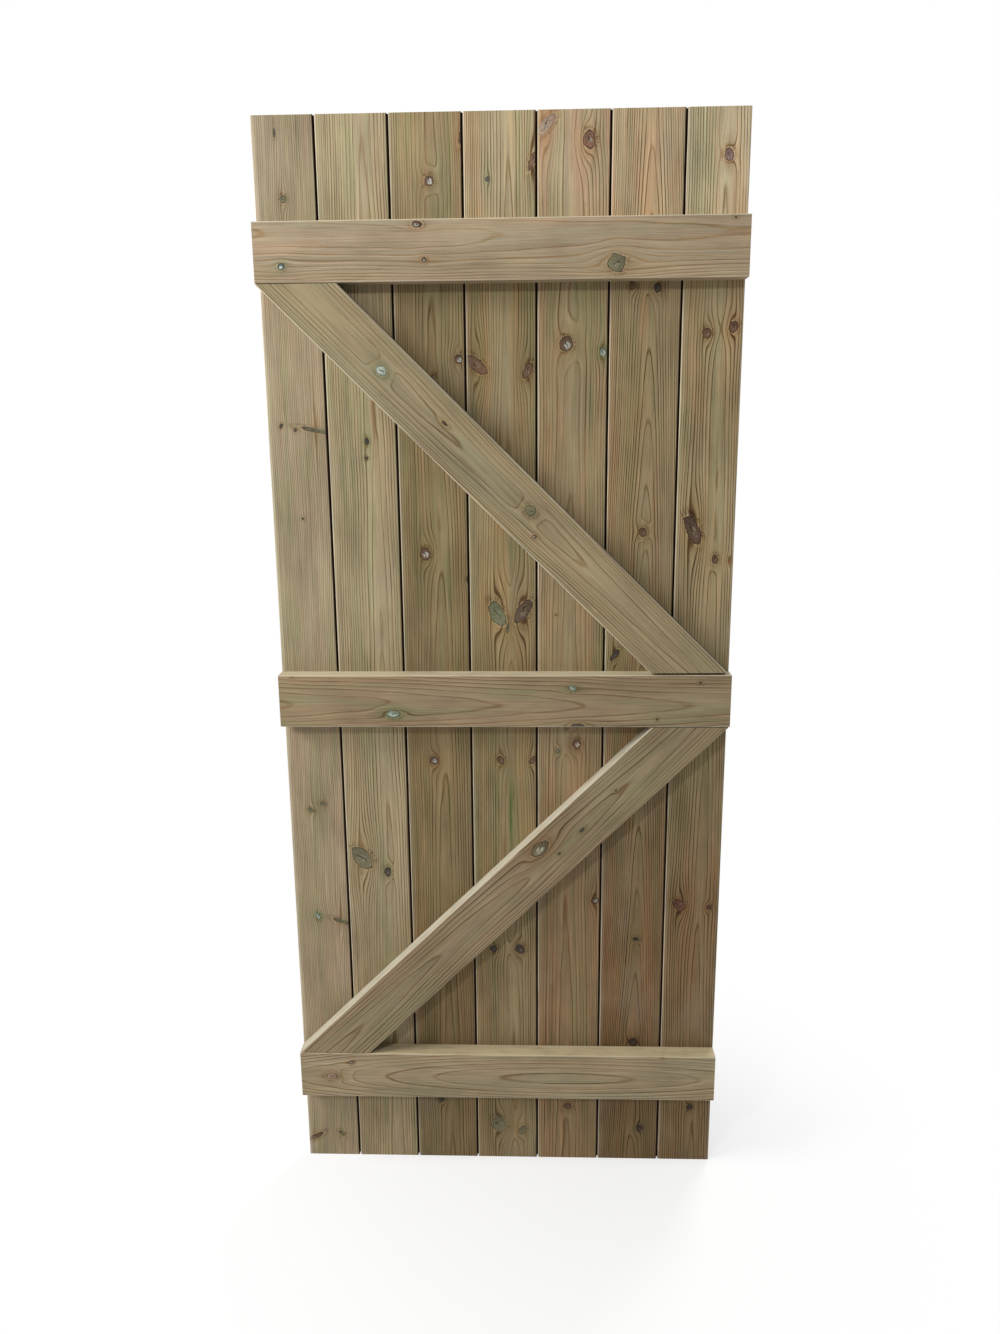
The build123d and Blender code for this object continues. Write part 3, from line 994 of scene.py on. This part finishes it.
STREAKS = {
    "board_1": [
        streak(95, 1372, 14, 60, GREEN_STREAK, 0.5),
        streak(57, 650, 4, 70, GREEN_STREAK, 0.35),
    ],
    "board_2": [streak(178, 1040, 3, 60, GREEN_STREAK, 0.4)],
    "board_3": [streak(238, 640, 5, 60, (1.25, 1.27, 1.3), 0.6)],
    "board_4": [
        streak(396, 735, 4, 50, GREEN_STREAK, 0.7),
        streak(391, 692, 7, 135, (0.34, 0.60, 0.36), 1.0),
        streak(334, 1400, 10, 300, (0.55, 0.56, 0.50), 0.5),
        streak(334, 650, 12, 400, (0.60, 0.60, 0.56), 0.6),
    ],
    "board_5": [streak(540, 1530, 4, 60, (0.66, 0.95, 0.74), 0.7)],
    "brace_upper": [streak(533, 1066, 7, 14, (1.25, 1.28, 1.25), 0.8)],
}


def look(early, latewood, warm, green, heart, ring_width, **more):
    """Settings of one piece of timber, with plain values for what is left out.

    heart is the trunk's heart: across the grain from the piece's middle and behind its ledged
    face, mm. Colours are plain surface colours, except that the colour for faces that look up is
    partly painted light, and the amounts for a paler top and darker foot are partly painted light
    and shade.
    """
    usual = dict(
        lean=0.008, bow=0.0, bow_centre=0.0, drift=5.0, contrast=0.9, streaks=0.6, pale=0.6,
        dust=(0.60, 0.54, 0.38), dry=0.0, damp=0.0,
    )
    own = dict(early=early, latewood=latewood, warm=warm, green=green, ring_width=ring_width)
    return {**usual, **own, "heart_across": heart[0], "heart_depth": heart[1], **more}


LOOKS = {
    "board_1": look(
        (0.295, 0.246, 0.159), (0.124, 0.071, 0.032), (0.309, 0.237, 0.156), (0.268, 0.244, 0.138),
        (70, 18), 2.9, contrast=0.85, damp=0.22, seed=1.7,
    ),
    "board_2": look(
        (0.297, 0.244, 0.146), (0.107, 0.060, 0.026), (0.294, 0.228, 0.133), (0.251, 0.230, 0.123),
        (14, 30), 3.1, contrast=1.19, dry=0.24, damp=0.18, seed=9.2,
    ),
    "board_3": look(
        (0.201, 0.159, 0.080), (0.063, 0.035, 0.011), (0.210, 0.148, 0.072), (0.166, 0.143, 0.065),
        (5, 34), 3.0, contrast=1.09, dry=0.53, damp=0.49, seed=17.1,
    ),
    "board_4": look(
        (0.244, 0.194, 0.104), (0.083, 0.045, 0.016), (0.253, 0.177, 0.085), (0.201, 0.175, 0.084),
        (8, 24), 3.1, contrast=1.19, dry=0.89, damp=0.23, seed=25.4,
    ),
    "board_5": look(
        (0.262, 0.205, 0.112), (0.083, 0.045, 0.018), (0.286, 0.191, 0.103), (0.214, 0.187, 0.090),
        (-6, 44), 3.1, contrast=1.05, dry=0.79, damp=0.6, seed=33.8,
    ),
    "board_6": look(
        (0.258, 0.200, 0.108), (0.064, 0.035, 0.012), (0.272, 0.177, 0.088), (0.214, 0.181, 0.088),
        (4, 20), 3.0, contrast=1.38, lean=0.03, dry=0.85, damp=1.04, seed=41.3,
    ),
    "board_7": look(
        (0.283, 0.233, 0.132), (0.086, 0.048, 0.019), (0.290, 0.209, 0.111), (0.230, 0.205, 0.105),
        (14, 24), 3.3, contrast=1.27, dry=0.96, damp=1.48, seed=49.9,
    ),
    "ledge_top": look(
        (0.310, 0.240, 0.151), (0.130, 0.069, 0.031), (0.323, 0.237, 0.151), (0.297, 0.250, 0.164),
        (-22, 34), 3.4, contrast=0.56, streaks=0.3, drift=8.0, pale=0.5, seed=57.5,
    ),
    "ledge_middle": look(
        (0.237, 0.179, 0.105), (0.073, 0.040, 0.016), (0.250, 0.177, 0.105), (0.212, 0.185, 0.101),
        (6, 34), 3.4, contrast=0.91, streaks=0.3, drift=7.0, lean=0.02, pale=0.5,
        dust=(0.50, 0.435, 0.29), seed=65.6,
    ),
    "ledge_bottom": look(
        (0.262, 0.206, 0.124), (0.078, 0.042, 0.017), (0.262, 0.201, 0.122), (0.246, 0.214, 0.137),
        (2, 26), 3.4, contrast=0.97, streaks=0.3, drift=1.2, lean=0.0, bow=0.00007,
        bow_centre=490.0, pale=0.5, dust=(0.47, 0.39, 0.235), seed=73.2,
    ),
    "brace_upper": look(
        (0.259, 0.208, 0.118), (0.071, 0.039, 0.016), (0.264, 0.205, 0.116), (0.244, 0.214, 0.127),
        (-4, 18), 2.8, contrast=0.95, lean=0.009, dust=(0.50, 0.46, 0.36), seed=81.0,
    ),
    "brace_lower": look(
        (0.218, 0.166, 0.100), (0.060, 0.031, 0.013), (0.224, 0.162, 0.096), (0.200, 0.173, 0.094),
        (-3, 16), 3.2, contrast=1.09, lean=0.014, pale=0.15, dust=(0.48, 0.44, 0.34), seed=89.4,
    ),
}


def grain_frame(name):
    """A piece's middle on the leaf (x, z) and the direction of its grain from upright, radians.

    The across and along of a leaf point p are (p - middle) . (cos a, -sin a) and
    (p - middle) . (sin a, cos a), with a the direction, clockwise.
    """
    if name.startswith("board"):
        low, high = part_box(name)
        x = (low.x + high.x) / 2 / MM - LEAF_CORNER[0] / MM
        return (x, 0.0), 0.0
    if name.startswith("ledge"):
        return (0.0, LEDGE_LOWS[name] + BAR_WIDTH / 2), math.pi / 2
    lean, shift = (1, UPPER_BRACE_SHIFT) if name == "brace_upper" else (-1, 0.0)
    angle, middle, _, _ = brace_line(lean, shift)
    return tuple(middle), math.pi / 2 + lean * angle


def on_grain(name, x, z):
    """A leaf point as a vector across, depth and along the piece's grain, in millimetres."""
    middle, turn = grain_frame(name)
    dx, dz = x - middle[0], z - middle[1]
    across = dx * math.cos(turn) - dz * math.sin(turn)
    along = dx * math.sin(turn) + dz * math.cos(turn)
    return (across, 0.0, along)


def grain_point(web, name):
    """The shaded point in millimetres across, into and along the piece's grain."""
    middle, turn = grain_frame(name)
    where = web.node("ShaderNodeTexCoord", out="Object")
    apart = web.vector("SUBTRACT", where, tuple(place([middle[0], 0.0, middle[1]])))
    values = {"Vector": apart, "Rotation": (0.0, -turn, 0.0)}
    turned = web.node("ShaderNodeMapping", values, vector_type="POINT")
    return web.vector("SCALE", turned, scale=1 / MM)


def timber(name):
    """The planed pine of one piece, with its own rings, knots and streaks.

    Each knot passes the state it has changed to the next. The streaks keep to the unbent point.
    """
    style = LOOKS[name]
    material, web, shader = new_material(f"{name}_pine")
    point = grain_point(web, name)
    seed = (style["seed"], style["seed"] * 0.37, style["seed"] * 0.61)
    jitter = web.drawn(point, (0.11, 0.11, 0.11), seed).node.outputs["Color"]
    jitter = web.vector("SUBTRACT", jitter, (0.5, 0.5, 0.5))
    speckle = web.drawn(point, (0.55, 0.55, 0.55), seed, 2.0, 0.6)
    shared = {"wobble": web.vector("SCALE", jitter, scale=0.6), "speckle": speckle}

    state = dict(point=point, lift=0.0, calm=0.0, cover_colour=CLEAR, cover=0.0, stain=WHITE)
    for spot in KNOTS[name]:
        centre = on_grain(name, spot["x"], spot["z"])
        state = vars(use_group(web, "knot", **{**shared, **state, **spot, "centre": centre}))
    for mark in STREAKS.get(name, []):
        centre = on_grain(name, mark["x"], mark["z"])
        own = {**mark, "point": point, "centre": centre, "stain": state["stain"]}
        state.update(vars(use_group(web, "streak", **shared, **own)))

    known = {**style, **state, "seed": seed}
    known.update(vars(use_group(web, "rings", **known)))
    wood = web.tint(use_group(web, "pine", **known).colour, state["stain"])
    under = web.shade(wood, web.minus(1.0, state["cover"]))
    known.update(colour=web.blend(1.0, under, state["cover_colour"], "ADD"), point=point)
    for label in ("arris", "joint", "sawn"):
        known[label] = web.node("ShaderNodeAttribute", out="Fac", attribute_name=label)
    if name.startswith("board"):
        _, depth, height = web.split(point)
        # The boards' paler top and darker foot: partly weathering, partly painted light and shade.
        weathered_and_lit_top = web.ease(height, DRY_AND_LIT_FROM, DRY_AND_LIT_FULL, 0.0, style["dry"])
        known["dry"] = web.times(weathered_and_lit_top, web.ease(depth, 14.0, 5.0))
        known["damp"] = web.ease(height, DAMP_AND_SHADED_FROM, DAMP_AND_SHADED_FULL, 0.0, style["damp"])
    known["upward"] = web.split(web.node("ShaderNodeNewGeometry", out="Normal"))[2]
    web.feed(shader.inputs["Base Color"], use_group(web, "handling_and_painted_light", **known).colour)
    rough = web.scaled(known["late"], -0.10, 0.78)
    web.feed(shader.inputs["Roughness"], web.scaled(known["cover"], -0.16, rough))
    web.feed(shader.inputs["Specular IOR Level"], web.scaled(known["joint"], -0.2, 0.2))
    grain = web.drawn(point, (1.3, 1.3, 0.04), seed, 3.0, 0.7)
    fuzz = web.times(known["sawn"], 3.0)
    roughen(web, shader, web.scaled(speckle, fuzz, grain), 0.5, 0.15)
    return material


def zinc():
    """Dull galvanised steel of the nail heads, with spangled grey and a few darker scuffs."""
    material, web, shader = new_material("zinc_coated_nails")
    where = web.node("ShaderNodeTexCoord", out="Object")
    spangle = web.noise(web.vector("SCALE", where, scale=900.0), 2.0, 0.6)
    scuff = web.noise(web.vector("SCALE", where, scale=260.0), 3.0, 0.7)
    grey = web.blend(web.ease(spangle, 0.35, 0.65), (0.30, 0.31, 0.31), (0.48, 0.49, 0.49))
    grey = web.blend(web.ease(scuff, 0.55, 0.7, 0.0, 0.6), grey, (0.14, 0.12, 0.10))
    web.feed(shader.inputs["Base Color"], grey)
    web.feed(shader.inputs["Roughness"], web.ease(scuff, 0.3, 0.7, 0.35, 0.6))
    shader.inputs["Metallic"].default_value = 0.85
    roughen(web, shader, spangle, 0.4, 0.1)
    return material


# The leaf


def fit(piece, node):
    """Lets a planed piece stand for its solid, in that piece's own timber."""
    piece.data.materials.append(timber(node))
    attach(piece, "root")
    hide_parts(node)
    node.split("_")[0] + "s"


for number in range(1, BOARD_COUNT + 1):
    fit(make_board(number), f"board_{number}")
for ledge in LEDGE_LOWS:
    fit(make_ledge(ledge), ledge)
fit(
    make_brace("brace_upper", 1, UPPER_BRACE_SHIFT, UPPER_FOOT_NIP, UPPER_FOOT_LIFT),
    "brace_upper",
)
fit(make_brace("brace_lower", -1), "brace_lower")

nails = make_nails()
nails.data.materials.append(zinc())
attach(nails, "root")


# Floor, sky, lamps and camera


def make_floor():
    """A round floor under the leaf's foot, matt there and plain white to the camera further out."""
    turn = np.linspace(0, 2 * np.pi, FLOOR_SIDES, endpoint=False)
    rim = np.stack([np.cos(turn), np.sin(turn), np.zeros(FLOOR_SIDES)], axis=1)
    middle = place([LEAF_WIDTH / 2, 0, 0])
    mesh = bpy.data.meshes.new("floor")
    mesh.from_pydata((middle + FLOOR_RADIUS * rim).tolist(), [], [list(range(FLOOR_SIDES))])
    floor = bpy.data.objects.new("floor", mesh)
    bpy.context.collection.objects.link(floor)

    material, web, shader = new_material("white_floor")
    web.tree.nodes.remove(shader)
    matt = web.node("ShaderNodeBsdfDiffuse", {"Color": (0.86, 0.86, 0.85)})
    blank = web.node("ShaderNodeEmission", {"Strength": 1.0})
    where = web.node("ShaderNodeTexCoord", out="Object")
    apart = web.vector("LENGTH", web.vector("SUBTRACT", where, tuple(middle)))
    seen = web.node("ShaderNodeLightPath", out="Is Camera Ray")
    share = web.times(web.ease(apart, 0.15, 0.9, 0.55, 1.0), seen)
    both = web.node("ShaderNodeMixShader", (share, matt, blank))
    web.feed(web.tree.nodes["Material Output"].inputs["Surface"], both)
    mesh.materials.append(material)


def make_sky():
    """Even soft light from all round, plain white where the camera looks past the leaf."""
    world = bpy.data.worlds.new("studio")
    bpy.context.scene.world = world
    world.use_nodes = True
    web = Web(world.node_tree)
    sky = world.node_tree.nodes["Background"]
    web.feed(sky.inputs["Color"], WHITE)
    seen = web.node("ShaderNodeLightPath", out="Is Camera Ray")
    web.feed(sky.inputs["Strength"], web.between(seen, SKY_STRENGTH, 1.0))


def lamp(name, at, target, size, power):
    """A square soft lamp at a place, aimed at a point."""
    light = bpy.data.lights.new(name, "AREA")
    light.size = size
    light.energy = power
    thing = bpy.data.objects.new(name, light)
    thing.location = at
    thing.rotation_euler = (Vector(target) - Vector(at)).to_track_quat("-Z", "Y").to_euler()
    thing.visible_camera = False
    bpy.context.collection.objects.link(thing)


make_floor()
make_sky()
lamp("key_lamp", (-1.13, -2.75, 2.54), (0.34, 0.0, 0.75), 0.32, 40.0)
lamp("soft_panel_at_left", (-2.2, -0.86, 2.6), (0.34, 0.0, 0.72), 1.4, 114.0)
lamp("lamp_for_plain_face", (1.75, 2.45, 2.5), (0.34, 0.05, 0.72), 1.2, 60.0)

eye = bpy.data.cameras.new("camera")
eye.lens = CAMERA_LENS
camera = bpy.data.objects.new("camera", eye)
camera.location = CAMERA_AT
camera.rotation_euler = [math.radians(turn) for turn in CAMERA_TURN]
bpy.context.collection.objects.link(camera)
bpy.context.scene.camera = camera
bpy.context.scene.view_settings.view_transform = "Standard"
